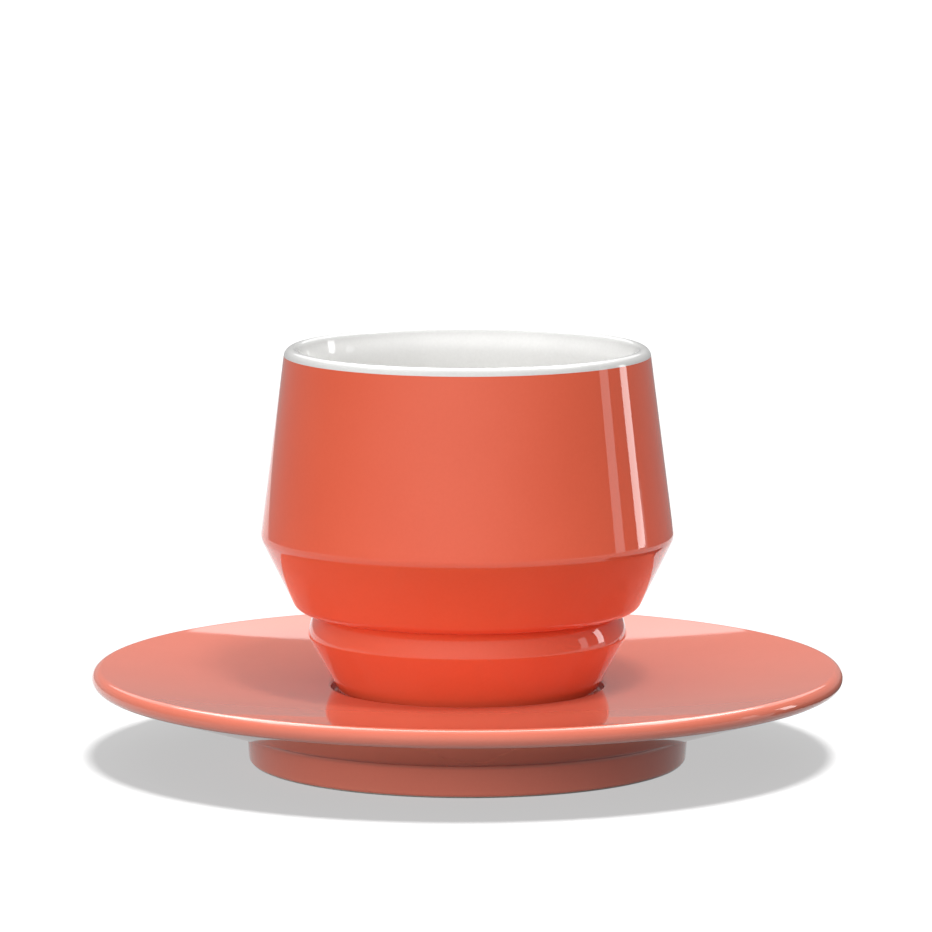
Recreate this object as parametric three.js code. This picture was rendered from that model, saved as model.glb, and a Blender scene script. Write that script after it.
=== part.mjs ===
// A cappuccino cup on its saucer, both glazed porcelain and round about one upright axis.
// The cup has no handle. It is white inside and coral outside, and its foot stands in the saucer's well.
// Millimetres, +Z up, with the origin under the middle of the saucer, on the surface that it stands on.
import * as THREE from 'three';

// Saucer
const SAUCER_DIAMETER = 150;
const SAUCER_HEIGHT = 18.9;
const RIM_THICKNESS = 3.6;
const DISH_DEPTH = 3.7;
const WELL_DEPTH = 2;
const WELL_CLEARANCE = 1;
const WELL_DRAFT = 0.4;
const WELL_ROUNDING = 0.7;
const PLATE_THICKNESS = 4.8;
const FOOT_RING_DIAMETER = 88.3;
const FOOT_RING_HEIGHT = 6.4;
const FOOT_RING_TAPER = 0.5;
const FOOT_RING_WIDTH = 5.4;
const FOOT_RING_ROUNDING = 1;
const FOOT_RING_FILLET = 1.2;
const HOLLOW_DRAFT = 2;
const HOLLOW_FILLET = 3;

// Cup, with its heights measured from its own standing face
const CUP_HEIGHT = 69.8;
const LIP_DIAMETER = 72.7;
const LIP_THICKNESS = 2.6;
const LIP_ROUNDING = 1.7;
const SHOULDER_DIAMETER = 82.5;
const SHOULDER_HEIGHT = 31.9;
const SHOULDER_ROUNDING = 3.3;
const WAIST_DIAMETER = 67.9;
const WAIST_HEIGHT = 17.2;
const WAIST_ROUNDING = 3;
const GROOVE_DIAMETER = 60.4;
const GROOVE_ROUNDING = 0.25;
const BEAD_DIAMETER = 63.6;
const BEAD_HEIGHT = 5.1;
const BEAD_DRAFT = 0.15;
const BEAD_TOP_DROP = 2.8;
const BEAD_TOP_ROUNDING = 9.5;
const BEAD_EDGE_ROUNDING = 0.5;
const FOOT_DIAMETER = 50.4;
const FOOT_WIDTH = 3.6;
const FOOT_ROUNDING = 0.8;
const FOOT_RECESS = 1.8;
const RECESS_DRAFT = 0.6;
const RECESS_FILLET = 1;

// Inside of the cup
const INNER_LIP_ROUNDING = 1.4;
const THROAT_DEPTH = 4.5;
const THROAT_WALL = 4.4;
const THROAT_ROUNDING = 10;
const SHOULDER_WALL = 4;
const INNER_SHOULDER_ROUNDING = 8;
const FLOOR_THICKNESS = 4.8;
const BOWL_FLOOR_DIAMETER = 40;
const BOWL_ROUNDING = 14;

// Coral glaze on the outside of the cup
const GLAZE_THICKNESS = 0.4;
const GLAZE_LINE_DROP = 1.5;
const BARE_FOOT_HEIGHT = 1;

// Facets
const SIDES = 56;
const CHORD_ERROR = 0.05;
const DISH_STEPS = 6;
const LEAST_ARC_STEPS = 2;

// A corner of an outline, at a radius from the axis and a height, with the radius of its rounding.
function corner(radius, height, rounding = 0) {
  return { point: new THREE.Vector2(radius, height), rounding };
}

// The corner where the straight line through two corners reaches a height.
function cornerOnLine(from, to, height) {
  const share = (height - from.point.y) / (to.point.y - from.point.y);
  return corner(THREE.MathUtils.lerp(from.point.x, to.point.x, share), height);
}

// Unit vectors along the edges between neighbouring corners.
function edgeDirections(corners) {
  return corners.slice(1).map((next, i) => next.point.clone().sub(corners[i].point).normalize());
}

// Unit vector to the left of a direction.
function leftOf(direction) {
  return new THREE.Vector2(-direction.y, direction.x);
}

// Angle from one direction to the next, counter-clockwise positive.
function turnBetween(from, to) {
  return Math.atan2(from.cross(to), from.dot(to));
}

// Angle that the outline turns by at each corner, with none at its two ends.
function cornerTurns(directions) {
  const turns = directions.slice(1).map((next, i) => turnBetween(directions[i], next));
  return [0, ...turns, 0];
}

// Number of straight steps that keep an arc within the chord error.
function arcSteps(radius, angle) {
  const step = 2 * Math.acos(1 - Math.min(CHORD_ERROR / radius, 1));
  return Math.max(LEAST_ARC_STEPS, Math.ceil(Math.abs(angle) / step));
}

// Points of the outline through the corners. Each rounding is an arc, held to the length of its two edges.
function roundedOutline(corners) {
  const directions = edgeDirections(corners);
  const turns = cornerTurns(directions);
  const reaches = corners.map(({ rounding }, i) => rounding * Math.abs(Math.tan(turns[i] / 2)));
  const shares = directions.map((_, i) => {
    const length = corners[i].point.distanceTo(corners[i + 1].point);
    return Math.min(1, length / (reaches[i] + reaches[i + 1]));
  });
  return corners.flatMap(({ point, rounding }, i) => {
    if (reaches[i] === 0) return [point];
    const share = Math.min(shares[i - 1], shares[i]);
    const radius = rounding * share;
    const start = point.clone().addScaledVector(directions[i - 1], -reaches[i] * share);
    const centre = start.clone().addScaledVector(leftOf(directions[i - 1]), radius * Math.sign(turns[i]));
    const angle = start.clone().sub(centre).angle();
    const arc = new THREE.ArcCurve(centre.x, centre.y, radius, angle, angle + turns[i], turns[i] < 0);
    return arc.getPoints(arcSteps(radius, turns[i]));
  });
}

// Corners moved to the left of the way they run, so that the rounded outline stays parallel to the first one.
function offsetCorners(corners, distance) {
  const directions = edgeDirections(corners);
  const turns = cornerTurns(directions);
  const sides = directions.map(leftOf);
  return corners.map(({ point, rounding }, i) => {
    const before = sides[Math.max(i - 1, 0)];
    const after = sides[Math.min(i, sides.length - 1)];
    const mitre = before.clone().add(after).multiplyScalar(distance / (1 + before.dot(after)));
    const moved = point.clone().add(mitre);
    const inner = Math.max(rounding - Math.sign(turns[i]) * distance, 0);
    return corner(moved.x, moved.y, rounding > 0 ? inner : 0);
  });
}

// Solid of revolution about +Z. Its outline runs up the outside.
function revolve(outline) {
  return new THREE.LatheGeometry(outline, SIDES).rotateX(Math.PI / 2);
}

function namedMesh(name, geometry, material) {
  const mesh = new THREE.Mesh(geometry, material);
  mesh.name = name;
  return mesh;
}

// Corners of the cup's outside, from the foot up to the lip
const foot = corner(FOOT_DIAMETER / 2, 0);
const beadEdge = corner(BEAD_DIAMETER / 2, WAIST_HEIGHT - BEAD_HEIGHT, BEAD_EDGE_ROUNDING);
const beadTop = corner(beadEdge.point.x - BEAD_DRAFT, WAIST_HEIGHT - BEAD_TOP_DROP, BEAD_TOP_ROUNDING);
const groove = corner(GROOVE_DIAMETER / 2, WAIST_HEIGHT, GROOVE_ROUNDING);
const waist = corner(WAIST_DIAMETER / 2, WAIST_HEIGHT, WAIST_ROUNDING);
const shoulder = corner(SHOULDER_DIAMETER / 2, SHOULDER_HEIGHT, SHOULDER_ROUNDING);
const lip = corner(LIP_DIAMETER / 2, CUP_HEIGHT, LIP_ROUNDING);

// The coral glaze covers the outside between the bare foot and the line under the lip.
const glazeFoot = cornerOnLine(foot, beadEdge, BARE_FOOT_HEIGHT);
const glazeLine = cornerOnLine(shoulder, lip, CUP_HEIGHT - GLAZE_LINE_DROP);
const glazeOutside = [glazeFoot, beadEdge, beadTop, groove, waist, shoulder, glazeLine];
const glazeInside = offsetCorners(glazeOutside, GLAZE_THICKNESS);

function outerGlazeOutline() {
  const outside = roundedOutline(glazeOutside);
  const inside = roundedOutline(glazeInside).reverse();
  return [...outside, ...inside, outside[0]];
}

// Porcelain under the glaze, with the full-size lip above it and the bowl inside.
function cupBodyOutline() {
  const [bareFoot, bareBead] = glazeInside;
  const standingEdge = cornerOnLine(bareFoot, bareBead, 0);
  standingEdge.rounding = FOOT_ROUNDING;
  const recessRadius = standingEdge.point.x - FOOT_WIDTH;
  const bowlFloor = FOOT_RECESS + FLOOR_THICKNESS;
  const outerThroat = cornerOnLine(shoulder, lip, CUP_HEIGHT - THROAT_DEPTH);
  return roundedOutline([
    corner(0, FOOT_RECESS),
    corner(recessRadius - RECESS_DRAFT, FOOT_RECESS, RECESS_FILLET),
    corner(recessRadius, 0, FOOT_ROUNDING),
    standingEdge,
    ...glazeInside,
    glazeLine,
    lip,
    corner(lip.point.x - LIP_THICKNESS, CUP_HEIGHT, INNER_LIP_ROUNDING),
    corner(outerThroat.point.x - THROAT_WALL, outerThroat.point.y, THROAT_ROUNDING),
    corner(shoulder.point.x - SHOULDER_WALL, SHOULDER_HEIGHT, INNER_SHOULDER_ROUNDING),
    corner(BOWL_FLOOR_DIAMETER / 2, bowlFloor, BOWL_ROUNDING),
    corner(0, bowlFloor),
  ]);
}

// Heights and radii of the saucer that follow from its sizes and the cup's foot
const wellEdgeHeight = SAUCER_HEIGHT - DISH_DEPTH;
const wellFloorHeight = wellEdgeHeight - WELL_DEPTH;
const wellEdgeRadius = cornerOnLine(foot, beadEdge, WELL_DEPTH).point.x + WELL_CLEARANCE;
const rimRadius = RIM_THICKNESS / 2;
const rimCentre = new THREE.Vector2(SAUCER_DIAMETER / 2 - rimRadius, SAUCER_HEIGHT - rimRadius);

// The dish rises as a shallow paraboloid from the edge of the well to its end at the rim.
function dishCorners(end) {
  const rise = (end.y - wellEdgeHeight) / (end.x ** 2 - wellEdgeRadius ** 2);
  return Array.from({ length: DISH_STEPS }, (_, i) => {
    const radius = THREE.MathUtils.lerp(end.x, wellEdgeRadius, i / DISH_STEPS);
    return corner(radius, wellEdgeHeight + rise * (radius ** 2 - wellEdgeRadius ** 2));
  });
}

// Round nose of the rim, from the straight underside that touches it round to the slope of the dish.
function rimPoints(ringTop) {
  const toCentre = rimCentre.clone().sub(ringTop.point);
  const underside = toCentre.angle() - Math.asin(rimRadius / toCentre.length());
  const dishSlope = Math.atan2(2 * DISH_DEPTH * rimCentre.x, rimCentre.x ** 2 - wellEdgeRadius ** 2);
  const start = underside - Math.PI / 2;
  const end = dishSlope + Math.PI / 2;
  const nose = new THREE.ArcCurve(rimCentre.x, rimCentre.y, rimRadius, start, end, false);
  return nose.getPoints(arcSteps(rimRadius, end - start));
}

function saucerOutline() {
  const ringTop = corner(FOOT_RING_DIAMETER / 2, FOOT_RING_HEIGHT, FOOT_RING_FILLET);
  const standingRadius = ringTop.point.x - FOOT_RING_TAPER;
  const hollowRadius = standingRadius - FOOT_RING_WIDTH;
  const hollowHeight = wellFloorHeight - PLATE_THICKNESS;
  const nose = rimPoints(ringTop);
  const dishEnd = nose.pop();
  return roundedOutline([
    corner(0, hollowHeight),
    corner(hollowRadius - HOLLOW_DRAFT, hollowHeight, HOLLOW_FILLET),
    corner(hollowRadius, 0, FOOT_RING_ROUNDING),
    corner(standingRadius, 0, FOOT_RING_ROUNDING),
    ringTop,
    ...nose.map((point) => corner(point.x, point.y)),
    ...dishCorners(dishEnd),
    corner(wellEdgeRadius, wellEdgeHeight, WELL_ROUNDING),
    corner(wellEdgeRadius - WELL_DRAFT, wellFloorHeight, WELL_ROUNDING),
    corner(0, wellFloorHeight),
  ]);
}

const whiteGlaze = new THREE.MeshStandardMaterial({ color: 0xf1f0ec, roughness: 0.12, metalness: 0 });
const cupCoral = new THREE.MeshStandardMaterial({ color: 0xe2684c, roughness: 0.12, metalness: 0 });
const saucerCoral = new THREE.MeshStandardMaterial({ color: 0xe2684c, roughness: 0.12, metalness: 0 });

const cup = new THREE.Group();
cup.position.z = wellFloorHeight;
cup.add(namedMesh('cup_body', revolve(cupBodyOutline()), whiteGlaze));
cup.add(namedMesh('cup_outer_glaze', revolve(outerGlazeOutline()), cupCoral));

const cupWithSaucer = new THREE.Group();
cupWithSaucer.add(namedMesh('saucer', revolve(saucerOutline()), saucerCoral));
cupWithSaucer.add(cup);

export default cupWithSaucer;
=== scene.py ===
# Looks of a cappuccino cup on its saucer: glazed porcelain on a white floor, in soft studio light.
# Outlines are in millimetres, with +Z up and the origin on the floor, as the CAD part has them.
import math
from collections import namedtuple

import bmesh
import bpy
from mathutils import Matrix, Vector


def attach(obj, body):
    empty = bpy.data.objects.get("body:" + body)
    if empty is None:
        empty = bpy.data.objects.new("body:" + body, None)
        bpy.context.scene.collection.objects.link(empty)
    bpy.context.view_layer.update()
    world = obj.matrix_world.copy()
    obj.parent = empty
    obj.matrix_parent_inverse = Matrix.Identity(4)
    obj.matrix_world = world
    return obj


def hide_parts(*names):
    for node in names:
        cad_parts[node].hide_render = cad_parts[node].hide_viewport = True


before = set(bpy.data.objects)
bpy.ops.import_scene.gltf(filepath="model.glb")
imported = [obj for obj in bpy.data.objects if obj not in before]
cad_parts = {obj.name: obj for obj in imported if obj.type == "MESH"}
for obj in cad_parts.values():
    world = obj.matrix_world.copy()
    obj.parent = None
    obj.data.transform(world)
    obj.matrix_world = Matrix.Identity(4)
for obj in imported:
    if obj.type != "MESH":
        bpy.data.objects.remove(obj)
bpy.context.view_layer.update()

MM = 0.001

# Saucer
SAUCER_DIAMETER = 150
SAUCER_HEIGHT = 18.9
RIM_THICKNESS = 3.6
DISH_DEPTH = 3.7
WELL_DEPTH = 2
WELL_CLEARANCE = 1
WELL_DRAFT = 0.4
WELL_ROUNDING = 0.7
PLATE_THICKNESS = 4.8
FOOT_RING_DIAMETER = 88.3
FOOT_RING_HEIGHT = 6.4
FOOT_RING_TAPER = 0.5
FOOT_RING_WIDTH = 5.4
FOOT_RING_ROUNDING = 1
FOOT_RING_FILLET = 1.2
HOLLOW_DRAFT = 2
HOLLOW_FILLET = 3
BARE_RING_HEIGHT = 0.4

# Cup, with its heights measured from its own standing face
CUP_HEIGHT = 69.8
LIP_DIAMETER = 72.7
LIP_THICKNESS = 2.6
LIP_ROUNDING = 1.7
SHOULDER_DIAMETER = 82.5
SHOULDER_HEIGHT = 31.9
SHOULDER_ROUNDING = 3.3
WAIST_DIAMETER = 67.9
WAIST_HEIGHT = 17.2
WAIST_ROUNDING = 3
GROOVE_DIAMETER = 60.4
GROOVE_ROUNDING = 0.25
BEAD_DIAMETER = 63.6
BEAD_HEIGHT = 5.1
BEAD_DRAFT = 0.15
BEAD_TOP_DROP = 2.8
BEAD_TOP_ROUNDING = 9.5
BEAD_EDGE_ROUNDING = 0.5
FOOT_DIAMETER = 50.4
FOOT_WIDTH = 3.6
FOOT_ROUNDING = 0.8
FOOT_RECESS = 1.8
RECESS_DRAFT = 0.6
RECESS_FILLET = 1
INNER_LIP_ROUNDING = 1.4
THROAT_DEPTH = 4.5
THROAT_WALL = 4.4
THROAT_ROUNDING = 10
SHOULDER_WALL = 4
INNER_SHOULDER_ROUNDING = 8
FLOOR_THICKNESS = 4.8
BOWL_FLOOR_DIAMETER = 40
BOWL_ROUNDING = 14
GLAZE_THICKNESS = 0.4
GLAZE_LINE_DROP = 1.5
BARE_FOOT_HEIGHT = 1

# Fineness of the turned surfaces
SIDES = 256
ARC_STEP = math.radians(4)
LEAST_ARC_STEPS = 6
LONGEST_STEP = 1.5
DISH_STEPS = 40
SHARP_ANGLE = math.radians(40)
TOUCH = 1e-6

# Glazes: colours where they pool and where they run thinner, share of the second colour on a flat, and
# what edges add
Glaze = namedtuple("Glaze", "pooled thin flat_share edge_share")
# On the white glaze the second colour is a darker grey: painted shade on the lip and throat edges
WHITE_GLAZE = Glaze((0.89, 0.885, 0.871, 1), (0.61, 0.607, 0.596, 1), 0.1, 0.7)
CUP_GLAZE = Glaze((0.76, 0.1, 0.042, 1), (0.86, 0.144, 0.066, 1), 0.5, 0.3)
SAUCER_GLAZE = Glaze((0.77, 0.18, 0.11, 1), (0.87, 0.23, 0.15, 1), 0.5, 0.3)

# Edge mark, where the coral glazes run thinner and the white glaze gets painted shade: its reach in
# millimetres, and the turn in radians that counts in full
THINNING_AND_SHADE = "glaze_thinning_and_painted_shade"
EDGE_REACH = 1.6
FULL_EDGE_TURN = 1.2

# Texture of the glazes, with noise in bumps to the metre and depth in metres
Texture = namedtuple("Texture", "scale detail")
NOISE_LOW = 0.3
NOISE_HIGH = 0.7
CLOUDS = Texture(55, 3)
CLOUD_SWING = 0.08
GRAINS = Texture(1600, 2)
GRAIN_SWING = 0.05
PEEL = Texture(320, 2)
PEEL_STRENGTH = 1.0
PEEL_DEPTH = 2e-6
GLOSS = Texture(140, 4)
GLOSSIEST = 0.02
LEAST_GLOSSY = 0.045
GLAZE_IOR = 1.5

# Bare biscuit of the standing rings
BISCUIT_DARK = (0.56, 0.52, 0.46, 1)
BISCUIT_PALE = (0.69, 0.66, 0.60, 1)
BISCUIT_CLOUDS = Texture(260, 3)
BISCUIT_GRAIN = Texture(2600, 4)
BISCUIT_GRAIN_STRENGTH = 0.5
BISCUIT_GRAIN_DEPTH = 6e-5
BISCUIT_SMOOTHEST = 0.65
BISCUIT_ROUGHEST = 0.85

# Camera, at the photograph's viewing angle
CAMERA_PLACE = (-0.28, -1275.55, 232.37)
CAMERA_PITCH = math.radians(7.733)
CAMERA_LENS = 249.66
SENSOR_WIDTH = 36

# Floor, which reads as white, and as grey in the object's shadow
FLOOR_WIDTH = 12
FLOOR_COLOUR = (0.1, 0.1, 0.1, 1)
FLOOR_BOUNCE = (0.02, 0.02, 0.02, 1)
SHADOW_LEVEL = 0.515
FLOOR_LAMP_FROM = (0.089, -0.40, 1)
FLOOR_LAMP_WIDTH = math.radians(11.5)
FLOOR_LAMP_STRENGTH = 17.5

# Studio: azimuths run from the front towards the right; angles are in degrees and sizes in metres
Lobe = namedtuple("Lobe", "azimuth elevation power brightness")
Panel = namedtuple("Panel", "azimuth elevation distance width height brightness")
Card = namedtuple("Card", "azimuth distance width height brightness")
WHITE_LIGHT = (1, 1, 1, 1)
DOWN = (0, 0, -1)
STUDIO_MIDDLE = Vector((0, 0, 0.045))
STUDIO_LEVEL = 0.34
FRONT_GLOW = Lobe(-12, 0, 4, 0.88)
CEILING_PLACE = (0, 1.71, 1.2)
CEILING_SIZE = (2.1, 4.19)
CEILING_BRIGHTNESS = 1.1
OVERHEAD_PLACE = (0, 0.84, 1.1)
OVERHEAD_SIZE = (1.3, 1.36)
OVERHEAD_BRIGHTNESS = 6
KEY_PANEL = Panel(-38, 10, 1.5, 1.3, 0.42, 4.2)
TOP_PANEL = Panel(36, 70, 1.5, 0.25, 0.25, 42)
SOFT_STRIP = Panel(92.6, 7, 1.3, 0.17, 0.37, 1.7)
BRIGHT_STRIP = Panel(112, 8, 1.3, 0.17, 0.41, 5)
RIGHT_CARD = Card(140, 0.35, 0.34, 0.097, 0.36)
LEFT_CARD = Card(-132, 0.6, 0.92, 0.13, 0.45)
LOW_CARD = Card(100, 0.098, 0.1, 0.018, 0.14)

Corner = namedtuple("Corner", "point rounding")


def corner(radius, height, rounding=0.0):
    """A corner of an outline, with the radius of its rounding."""
    return Corner(Vector((radius, height)), rounding)


def corner_on_line(start, end, height):
    """The corner where the straight line through two corners reaches a height."""
    share = (height - start.point.y) / (end.point.y - start.point.y)
    return Corner(start.point.lerp(end.point, share), 0.0)


def edge_directions(corners):
    return [(b.point - a.point).normalized() for a, b in zip(corners, corners[1:])]


def left_of(direction):
    return Vector((-direction.y, direction.x))


def corner_turns(directions):
    """Angle that the outline turns by at each corner, with none at its two ends."""
    turns = [math.atan2(a.cross(b), a.dot(b)) for a, b in zip(directions, directions[1:])]
    return [0.0, *turns, 0.0]


def arc_points(start, centre, angle):
    """Points along an arc from its start, turning by an angle."""
    steps = max(LEAST_ARC_STEPS, math.ceil(abs(angle) / ARC_STEP))
    arm = start - centre
    return [centre + Matrix.Rotation(angle * k / steps, 2) @ arm for k in range(steps + 1)]


def rounded_outline(corners):
    """Points of the outline through the corners. Each rounding is an arc, held to its two edges."""
    directions = edge_directions(corners)
    turns = corner_turns(directions)
    reaches = [c.rounding * abs(math.tan(turn / 2)) for c, turn in zip(corners, turns)]
    shares = []
    for i in range(len(directions)):
        length = (corners[i + 1].point - corners[i].point).length
        shares.append(min(1.0, length / max(reaches[i] + reaches[i + 1], TOUCH)))
    points = []
    for i, (place, rounding) in enumerate(corners):
        if reaches[i] == 0:
            points.append(place)
            continue
        share = min(shares[i - 1], shares[i])
        start = place - directions[i - 1] * reaches[i] * share
        centre = start + left_of(directions[i - 1]) * math.copysign(rounding * share, turns[i])
        points += arc_points(start, centre, turns[i])
    return points


def offset_corners(corners, distance):
    """Corners moved to the left of the way they run, so that the rounded outline stays parallel."""
    directions = edge_directions(corners)
    turns = corner_turns(directions)
    sides = [left_of(d) for d in directions]
    moved = []
    for i, (place, rounding) in enumerate(corners):
        before = sides[max(i - 1, 0)]
        after = sides[min(i, len(sides) - 1)]
        mitre = (before + after) * (distance / (1 + before.dot(after)))
        inner = max(rounding - math.copysign(distance, turns[i]), 0.0) if rounding else 0.0
        moved.append(Corner(place + mitre, inner))
    return moved


def spaced(points):
    """The same outline with straight runs cut into short steps."""
    made = [points[0]]
    for start, end in zip(points, points[1:]):
        steps = math.ceil((end - start).length / LONGEST_STEP)
        made += [start.lerp(end, (k + 1) / steps) for k in range(steps)]
    return made


def glaze_thinning_and_painted_shade(points, corners):
    """Above 0 near convex edges, where coral glaze runs thinner and the white glaze gets painted shade,
    and below 0 in hollows, where glaze pools.
    """
    turns = corner_turns(edge_directions(corners))
    edges = [(c.point, turn) for c, turn in zip(corners, turns) if c.rounding]
    return [
        sum(turn * math.exp(-(((place - edge).length / EDGE_REACH) ** 2)) for edge, turn in edges)
        for place in points
    ]


def new_object(name, data):
    """A mesh, a lamp or a camera, set into the scene."""
    made = bpy.data.objects.new(name, data)
    bpy.context.scene.collection.objects.link(made)
    return made


def ring_of(turned, place, base):
    """Vertices round the axis at a point of the outline, or one vertex where it lies on the axis."""
    radius = place.x * MM
    height = (base + place.y) * MM
    if place.x < TOUCH:
        return [turned.verts.new((0, 0, height))] * SIDES
    angles = [2 * math.pi * k / SIDES for k in range(SIDES)]
    return [turned.verts.new((radius * math.cos(a), radius * math.sin(a), height)) for a in angles]


def turned_mesh(name, outline, thinning_and_shade, base, closed):
    """Outline turned about +Z, which keeps on its vertices the edge mark for thinner glaze and painted
    shade.
    """
    turned = bmesh.new()
    thin_and_shade_layer = turned.verts.layers.float.new(THINNING_AND_SHADE)
    rings = []
    for place, thin in zip(outline, thinning_and_shade):
        ring = ring_of(turned, place, base)
        for vertex in ring:
            vertex[thin_and_shade_layer] = thin
        rings.append(ring)
    if closed:
        rings.append(rings[0])
    for lower, upper in zip(rings, rings[1:]):
        for k in range(SIDES):
            beside = (k + 1) % SIDES
            around = [lower[k], lower[beside], upper[beside], upper[k]]
            turned.faces.new(tuple(dict.fromkeys(around)))
    mesh = bpy.data.meshes.new(name)
    turned.to_mesh(mesh)
    turned.free()
    mesh.shade_smooth()
    mesh.set_sharp_from_angle(angle=SHARP_ANGLE)
    return mesh


def turned_piece(name, corners, base, closed=False):
    """Smooth solid of revolution, whose outline runs up the outside from a base height."""
    outline = spaced(rounded_outline(corners))
    thinning_and_shade = glaze_thinning_and_painted_shade(outline, corners)
    if closed:
        outline.pop()
        thinning_and_shade.pop()
    piece = new_object(name, turned_mesh(name, outline, thinning_and_shade, base, closed))
    weighted = piece.modifiers.new("even_normals", "WEIGHTED_NORMAL")
    weighted.keep_sharp = True
    return piece


# Corners of the cup's outside, from the foot up to the lip
foot = corner(FOOT_DIAMETER / 2, 0)
bead_edge = corner(BEAD_DIAMETER / 2, WAIST_HEIGHT - BEAD_HEIGHT, BEAD_EDGE_ROUNDING)
bead_top = corner(BEAD_DIAMETER / 2 - BEAD_DRAFT, WAIST_HEIGHT - BEAD_TOP_DROP, BEAD_TOP_ROUNDING)
groove = corner(GROOVE_DIAMETER / 2, WAIST_HEIGHT, GROOVE_ROUNDING)
waist = corner(WAIST_DIAMETER / 2, WAIST_HEIGHT, WAIST_ROUNDING)
shoulder = corner(SHOULDER_DIAMETER / 2, SHOULDER_HEIGHT, SHOULDER_ROUNDING)
lip = corner(LIP_DIAMETER / 2, CUP_HEIGHT, LIP_ROUNDING)

# The coral glaze covers the outside between the bare foot and the line under the lip
glaze_foot = corner_on_line(foot, bead_edge, BARE_FOOT_HEIGHT)
glaze_line = corner_on_line(shoulder, lip, CUP_HEIGHT - GLAZE_LINE_DROP)
glaze_outside = [glaze_foot, bead_edge, bead_top, groove, waist, shoulder, glaze_line]
glaze_inside = offset_corners(glaze_outside, GLAZE_THICKNESS)

# Heights and radii of the saucer that follow from its sizes and the cup's foot
well_edge_height = SAUCER_HEIGHT - DISH_DEPTH
well_floor_height = well_edge_height - WELL_DEPTH
well_edge_radius = corner_on_line(foot, bead_edge, WELL_DEPTH).point.x + WELL_CLEARANCE
rim_radius = RIM_THICKNESS / 2
rim_centre = Vector((SAUCER_DIAMETER / 2 - rim_radius, SAUCER_HEIGHT - rim_radius))


def cup_coat_corners():
    """Coral coat round the outside of the cup, as a thin ring."""
    return [*glaze_outside, *reversed(glaze_inside), glaze_outside[0]]


def cup_body_corners():
    """Porcelain under the coat, with the full-size lip above it and the bowl inside."""
    standing_edge = corner_on_line(glaze_inside[0], glaze_inside[1], 0)._replace(rounding=FOOT_ROUNDING)
    recess_radius = standing_edge.point.x - FOOT_WIDTH
    bowl_floor = FOOT_RECESS + FLOOR_THICKNESS
    outer_throat = corner_on_line(shoulder, lip, CUP_HEIGHT - THROAT_DEPTH)
    return [
        corner(0, FOOT_RECESS),
        corner(recess_radius - RECESS_DRAFT, FOOT_RECESS, RECESS_FILLET),
        corner(recess_radius, 0, FOOT_ROUNDING),
        standing_edge,
        *glaze_inside,
        glaze_line,
        lip,
        corner(lip.point.x - LIP_THICKNESS, CUP_HEIGHT, INNER_LIP_ROUNDING),
        corner(outer_throat.point.x - THROAT_WALL, outer_throat.point.y, THROAT_ROUNDING),
        corner(shoulder.point.x - SHOULDER_WALL, SHOULDER_HEIGHT, INNER_SHOULDER_ROUNDING),
        corner(BOWL_FLOOR_DIAMETER / 2, bowl_floor, BOWL_ROUNDING),
        corner(0, bowl_floor),
    ]


def dish_corners(end):
    """The dish, a shallow paraboloid from its end at the rim down to the edge of the well."""
    rise = (end.y - well_edge_height) / (end.x**2 - well_edge_radius**2)
    radii = [end.x + (well_edge_radius - end.x) * k / DISH_STEPS for k in range(DISH_STEPS)]
    return [corner(r, well_edge_height + rise * (r**2 - well_edge_radius**2)) for r in radii]


def rim_points(ring_top):
    """Round nose of the rim, from the straight underside that touches it to the slope of the dish."""
    to_centre = rim_centre - ring_top.point
    underside = math.atan2(to_centre.y, to_centre.x) - math.asin(rim_radius / to_centre.length)
    dish_slope = math.atan2(2 * DISH_DEPTH * rim_centre.x, rim_centre.x**2 - well_edge_radius**2)
    start = underside - math.pi / 2
    end = dish_slope + math.pi / 2
    first = rim_centre + rim_radius * Vector((math.cos(start), math.sin(start)))
    return arc_points(first, rim_centre, end - start)


def saucer_corners():
    """The whole saucer, from the middle of its underside round the rim to the middle of its well."""
    ring_top = corner(FOOT_RING_DIAMETER / 2, FOOT_RING_HEIGHT, FOOT_RING_FILLET)
    standing_radius = ring_top.point.x - FOOT_RING_TAPER
    hollow_radius = standing_radius - FOOT_RING_WIDTH
    hollow_height = well_floor_height - PLATE_THICKNESS
    *nose, dish_end = rim_points(ring_top)
    return [
        corner(0, hollow_height),
        corner(hollow_radius - HOLLOW_DRAFT, hollow_height, HOLLOW_FILLET),
        corner(hollow_radius, 0, FOOT_RING_ROUNDING),
        corner(standing_radius, 0, FOOT_RING_ROUNDING),
        ring_top,
        *[Corner(point, 0.0) for point in nose],
        *dish_corners(dish_end),
        corner(well_edge_radius, well_edge_height, WELL_ROUNDING),
        corner(well_edge_radius - WELL_DRAFT, well_floor_height, WELL_ROUNDING),
        corner(0, well_floor_height),
    ]


def new_material(name):
    material = bpy.data.materials.new(name)
    material.use_nodes = True
    material.node_tree.nodes.clear()
    return material


def add_node(tree, kind, inputs=None, **settings):
    """A shader node with its settings, and with values or links on its inputs."""
    made = tree.nodes.new(kind)
    for name, value in settings.items():
        setattr(made, name, value)
    for name, value in (inputs or {}).items():
        if isinstance(value, bpy.types.NodeSocket):
            tree.links.new(value, made.inputs[name])
        else:
            made.inputs[name].default_value = value
    return made


def calculated(tree, operation, first, second):
    """Result of a sum, power or other operation on two values."""
    return add_node(tree, "ShaderNodeMath", {0: first, 1: second}, operation=operation).outputs["Value"]


def noise(tree, place, texture):
    """Noise from 0 to 1, at the scale and detail of a texture."""
    inputs = {"Vector": place, "Scale": texture.scale, "Detail": texture.detail}
    return add_node(tree, "ShaderNodeTexNoise", inputs).outputs["Fac"]


def spread(tree, value, low, high, new_low, new_high):
    """A value from one range spread over another, held to its ends."""
    inputs = {"Value": value, "From Min": low, "From Max": high, "To Min": new_low, "To Max": new_high}
    return add_node(tree, "ShaderNodeMapRange", inputs).outputs["Result"]


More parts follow.
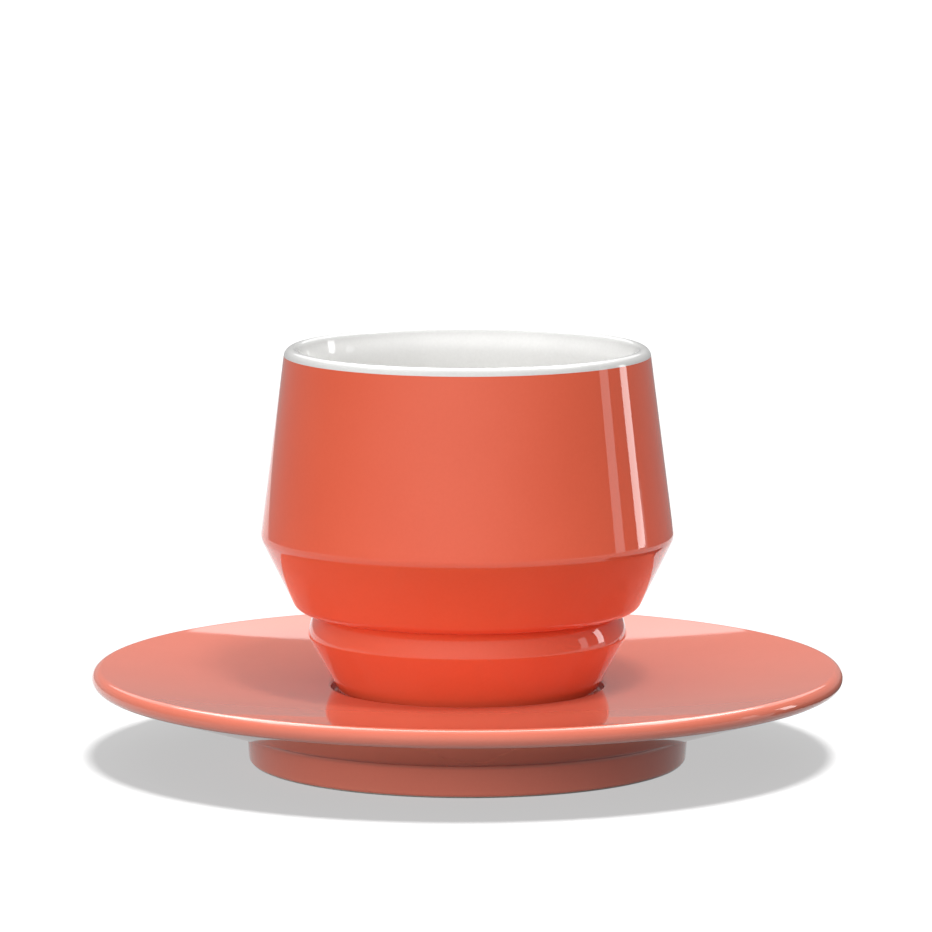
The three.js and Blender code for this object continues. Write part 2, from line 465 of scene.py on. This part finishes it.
def noise_spread(tree, value, low, high):
    """Noise spread from a low to a high value, held to both."""
    return spread(tree, value, NOISE_LOW, NOISE_HIGH, low, high)


def mixed(tree, share, first, second):
    """Colour between two colours."""
    inputs = {"Factor": share, "A": first, "B": second}
    return add_node(tree, "ShaderNodeMix", inputs, data_type="RGBA").outputs["Result"]


def bumped(tree, height, strength, depth):
    """Surface raised by a height from 0 to 1, at most by a depth."""
    inputs = {"Height": height, "Strength": strength, "Distance": depth}
    return add_node(tree, "ShaderNodeBump", inputs).outputs["Normal"]


def set_surface(tree, inputs):
    """Ends a material in one shader."""
    shader = add_node(tree, "ShaderNodeBsdfPrincipled", inputs)
    add_node(tree, "ShaderNodeOutputMaterial", {"Surface": shader.outputs["BSDF"]})


def glaze_material(name, glaze):
    """Glossy glaze over porcelain: it pools in hollows, runs thinner and paler on coral edges, and is
    faintly cloudy. On the white glaze the convex edges are painted a darker grey, as shade.
    """
    material = new_material(name)
    tree = material.node_tree
    place = add_node(tree, "ShaderNodeTexCoord").outputs["Object"]
    edges = add_node(tree, "ShaderNodeAttribute", attribute_name=THINNING_AND_SHADE).outputs["Fac"]
    least = glaze.flat_share - CLOUD_SWING
    most = glaze.flat_share + CLOUD_SWING
    clouds = noise_spread(tree, noise(tree, place, CLOUDS), least, most)
    grains = noise_spread(tree, noise(tree, place, GRAINS), -GRAIN_SWING, GRAIN_SWING)
    # Edges pale the coral glazes where they run thinner, and paint shade in grey on the white glaze's
    # lip and throat
    edging = spread(tree, edges, -FULL_EDGE_TURN, FULL_EDGE_TURN, -glaze.edge_share, glaze.edge_share)
    share = calculated(tree, "ADD", calculated(tree, "ADD", clouds, grains), edging)
    inputs = {
        "Base Color": mixed(tree, share, glaze.pooled, glaze.thin),
        "Roughness": noise_spread(tree, noise(tree, place, GLOSS), GLOSSIEST, LEAST_GLOSSY),
        "IOR": GLAZE_IOR,
        "Normal": bumped(tree, noise(tree, place, PEEL), PEEL_STRENGTH, PEEL_DEPTH),
    }
    set_surface(tree, inputs)
    return material


def biscuit_material(name):
    """Bare fired clay on the standing rings, matt and finely grained."""
    material = new_material(name)
    tree = material.node_tree
    place = add_node(tree, "ShaderNodeTexCoord").outputs["Object"]
    grain = noise(tree, place, BISCUIT_GRAIN)
    tone = noise_spread(tree, noise(tree, place, BISCUIT_CLOUDS), 0, 1)
    inputs = {
        "Base Color": mixed(tree, tone, BISCUIT_DARK, BISCUIT_PALE),
        "Roughness": noise_spread(tree, grain, BISCUIT_SMOOTHEST, BISCUIT_ROUGHEST),
        "Normal": bumped(tree, grain, BISCUIT_GRAIN_STRENGTH, BISCUIT_GRAIN_DEPTH),
    }
    set_surface(tree, inputs)
    return material


def bare_below(piece, height):
    """Gives the second material to the faces that lie under a height, in millimetres."""
    for face in piece.data.polygons:
        if all(piece.data.vertices[v].co.z < height * MM for v in face.vertices):
            face.material_index = 1


def place_piece(piece, body, node, materials):
    """Dresses a piece, ties it to its body and lets it stand for its CAD node."""
    for material in materials:
        piece.data.materials.append(material)
    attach(piece, body)
    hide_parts(node)


biscuit = biscuit_material("bare_biscuit")
white_glaze = glaze_material("white_glaze", WHITE_GLAZE)
cup_glaze = glaze_material("coral_cup_glaze", CUP_GLAZE)
saucer_glaze = glaze_material("coral_saucer_glaze", SAUCER_GLAZE)

saucer = turned_piece("glazed_saucer", saucer_corners(), 0)
place_piece(saucer, "saucer", "saucer", [saucer_glaze, biscuit])
bare_below(saucer, BARE_RING_HEIGHT)

cup_body = turned_piece("porcelain_cup", cup_body_corners(), well_floor_height)
place_piece(cup_body, "cup", "cup_body", [white_glaze, biscuit])
bare_below(cup_body, well_floor_height + BARE_FOOT_HEIGHT)

cup_coat = turned_piece("coral_coat", cup_coat_corners(), well_floor_height, closed=True)
place_piece(cup_coat, "cup", "cup_outer_glaze", [cup_glaze])


def seen_directly(tree):
    """1 for rays from the camera or by way of a mirror or glass, 0 for light that falls on things."""
    rays = add_node(tree, "ShaderNodeLightPath").outputs
    seen = calculated(tree, "MAXIMUM", rays["Is Camera Ray"], rays["Is Glossy Ray"])
    return calculated(tree, "MAXIMUM", seen, rays["Is Transmission Ray"])


def flat_sheet(name, corners):
    """Flat sheet with four corners."""
    mesh = bpy.data.meshes.new(name)
    mesh.from_pydata(corners, [], [(0, 1, 2, 3)])
    return new_object(name, mesh)


def white_floor():
    """Wide white floor that keeps the object's shadow, and throws little light back at the object."""
    half = FLOOR_WIDTH / 2
    floor = flat_sheet("floor", [(-half, -half, 0), (half, -half, 0), (half, half, 0), (-half, half, 0)])
    material = new_material("floor_white")
    tree = material.node_tree
    bounce = add_node(tree, "ShaderNodeBsdfDiffuse", {"Color": FLOOR_BOUNCE})
    matt = add_node(tree, "ShaderNodeBsdfDiffuse", {"Color": FLOOR_COLOUR})
    glow = add_node(tree, "ShaderNodeEmission", {"Color": WHITE_LIGHT, "Strength": SHADOW_LEVEL})
    seen = add_node(tree, "ShaderNodeAddShader", {0: matt.outputs["BSDF"], 1: glow.outputs["Emission"]})
    shares = {0: seen_directly(tree), 1: bounce.outputs["BSDF"], 2: seen.outputs["Shader"]}
    both = add_node(tree, "ShaderNodeMixShader", shares)
    add_node(tree, "ShaderNodeOutputMaterial", {"Surface": both.outputs["Shader"]})
    floor.data.materials.append(material)
    return floor


def floor_lamp(floor):
    """Distant lamp that lights the floor alone, so that the object's shadow falls just behind it."""
    lamp = bpy.data.lights.new("floor_lamp", "SUN")
    lamp.angle = FLOOR_LAMP_WIDTH
    lamp.energy = FLOOR_LAMP_STRENGTH
    sun = new_object("floor_lamp", lamp)
    sun.rotation_euler = Vector(FLOOR_LAMP_FROM).to_track_quat("Z", "Y").to_euler()
    lit = bpy.data.collections.new("lit_by_floor_lamp")
    lit.objects.link(floor)
    sun.light_linking.receiver_collection = lit


def towards(azimuth, elevation):
    """Direction from the object to an azimuth and an elevation."""
    around = math.radians(azimuth)
    up = math.radians(elevation)
    return Vector((math.sin(around) * math.cos(up), -math.cos(around) * math.cos(up), math.sin(up)))


def sky_lobe(tree, lobe, level):
    """Glow over an even level, brightest one way and falling off smoothly round to the other."""
    way = add_node(tree, "ShaderNodeTexCoord").outputs["Generated"]
    aim = towards(lobe.azimuth, lobe.elevation)
    facing = add_node(tree, "ShaderNodeVectorMath", {0: way, 1: aim}, operation="DOT_PRODUCT")
    nearness = spread(tree, facing.outputs["Value"], -1, 1, 0, 1)
    shape = calculated(tree, "POWER", nearness, lobe.power)
    return spread(tree, shape, 0, 1, level, level + lobe.brightness)


def studio_world():
    """Even grey surroundings that glow softly from the front."""
    world = bpy.data.worlds.new("studio")
    bpy.context.scene.world = world
    world.use_nodes = True
    tree = world.node_tree
    tree.nodes.clear()
    level = sky_lobe(tree, FRONT_GLOW, STUDIO_LEVEL)
    sky = add_node(tree, "ShaderNodeBackground", {"Color": WHITE_LIGHT, "Strength": level})
    add_node(tree, "ShaderNodeOutputWorld", {"Surface": sky.outputs["Background"]})


def area_lamp(name, place, facing, width, height, brightness):
    """Rectangular lamp of an even brightness, which the camera doesn't see."""
    lamp = bpy.data.lights.new(name, "AREA")
    lamp.shape = "RECTANGLE"
    lamp.size = width
    lamp.size_y = height
    lamp.energy = brightness * width * height * math.pi
    made = new_object(name, lamp)
    made.location = place
    made.rotation_euler = Vector(facing).to_track_quat("-Z", "Y").to_euler()
    made.visible_camera = False
    return made


def panel_lamp(name, panel):
    """Panel that faces the object."""
    way = towards(panel.azimuth, panel.elevation)
    place = STUDIO_MIDDLE + way * panel.distance
    return area_lamp(name, place, -way, panel.width, panel.height, panel.brightness)


def grey_card(name, card):
    """Card that stands on the floor and is seen in the glaze alone, as a grey before the white floor."""
    out = towards(card.azimuth, 0)
    half = Vector((-out.y, out.x, 0)) * (card.width / 2)
    up = Vector((0, 0, card.height))
    left = out * card.distance - half
    right = out * card.distance + half
    made = flat_sheet(name, [left, right, right + up, left + up])
    material = new_material(name)
    glow = add_node(material.node_tree, "ShaderNodeEmission", {"Strength": card.brightness})
    add_node(material.node_tree, "ShaderNodeOutputMaterial", {"Surface": glow.outputs["Emission"]})
    made.data.materials.append(material)
    made.visible_camera = False
    made.visible_diffuse = False
    made.visible_shadow = False


def photo_camera():
    """Camera in front of the object, tilted down a little."""
    lens = bpy.data.cameras.new("camera")
    lens.sensor_width = SENSOR_WIDTH
    lens.lens = CAMERA_LENS
    camera = new_object("camera", lens)
    camera.location = Vector(CAMERA_PLACE) * MM
    camera.rotation_euler = (math.pi / 2 - CAMERA_PITCH, 0, 0)
    bpy.context.scene.camera = camera


floor_lamp(white_floor())
studio_world()
area_lamp("ceiling_panel", CEILING_PLACE, DOWN, *CEILING_SIZE, CEILING_BRIGHTNESS)
overhead = area_lamp("overhead_panel", OVERHEAD_PLACE, DOWN, *OVERHEAD_SIZE, OVERHEAD_BRIGHTNESS)
overhead.visible_diffuse = False
panel_lamp("key_panel", KEY_PANEL).visible_glossy = False
panel_lamp("top_panel", TOP_PANEL).visible_glossy = False
panel_lamp("soft_strip", SOFT_STRIP).visible_diffuse = False
panel_lamp("bright_strip", BRIGHT_STRIP).visible_diffuse = False
grey_card("right_card", RIGHT_CARD)
grey_card("left_card", LEFT_CARD)
grey_card("low_card", LOW_CARD)
photo_camera()
bpy.context.scene.view_settings.view_transform = "Standard"
